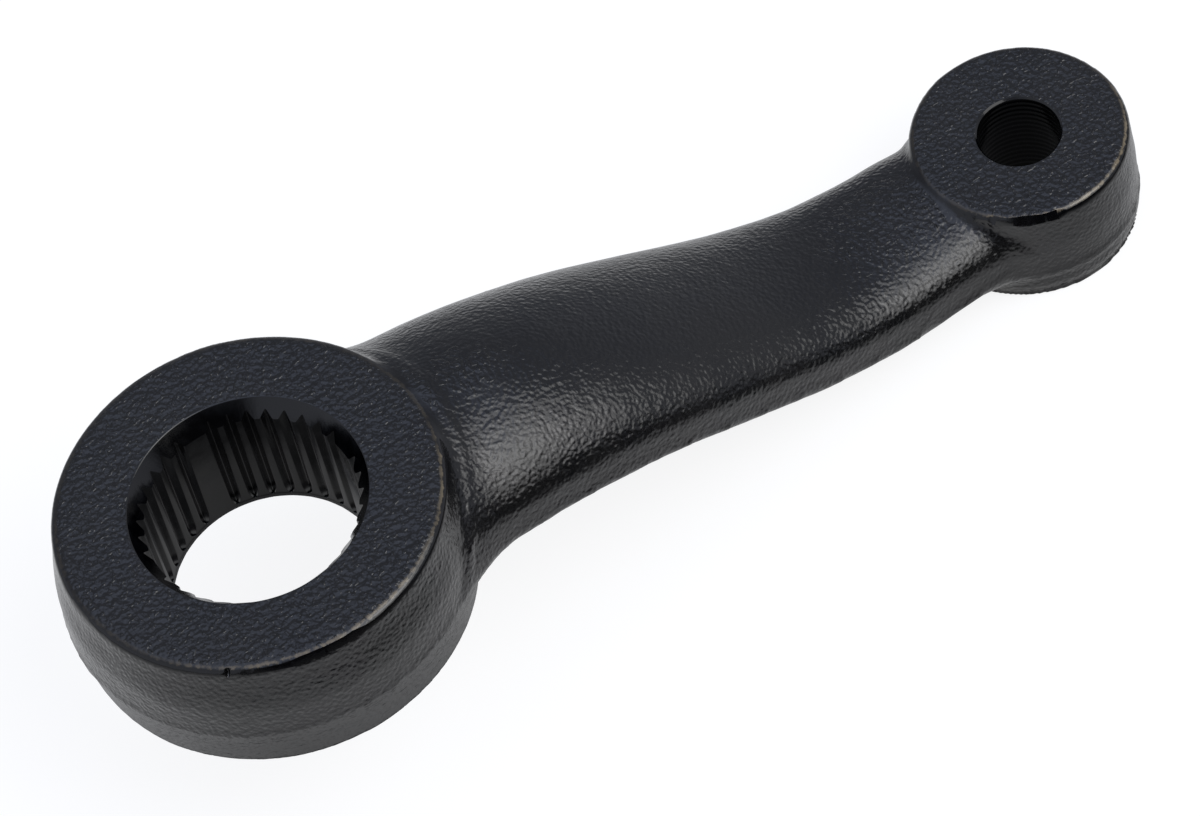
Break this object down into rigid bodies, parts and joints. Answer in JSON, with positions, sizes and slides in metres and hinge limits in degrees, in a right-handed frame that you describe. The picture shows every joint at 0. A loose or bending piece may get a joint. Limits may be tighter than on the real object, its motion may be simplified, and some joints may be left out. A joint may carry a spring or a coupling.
{
  "type": "pitman arm",
  "caption": "Forged steering pitman arm, painted black: a hub with a tapered serrated bore, an S-shaped arm that drops, and an eye with a tapered hole for a ball stud.",
  "frame": {"origin": "on the axis of the serrated bore, in the plane of the hub's parting line", "axes": "+Z along the bore to the hub's top face, +X along the arm to the eye"},
  "size_m": [0.181, 0.0608, 0.0479],
  "materials": {
    "black_paint": "semi-gloss black paint over a shot-blasted forging"
  },
  "bodies": {
    "root": {"pitman_arm": "black_paint"}
  },
  "joints": []
}
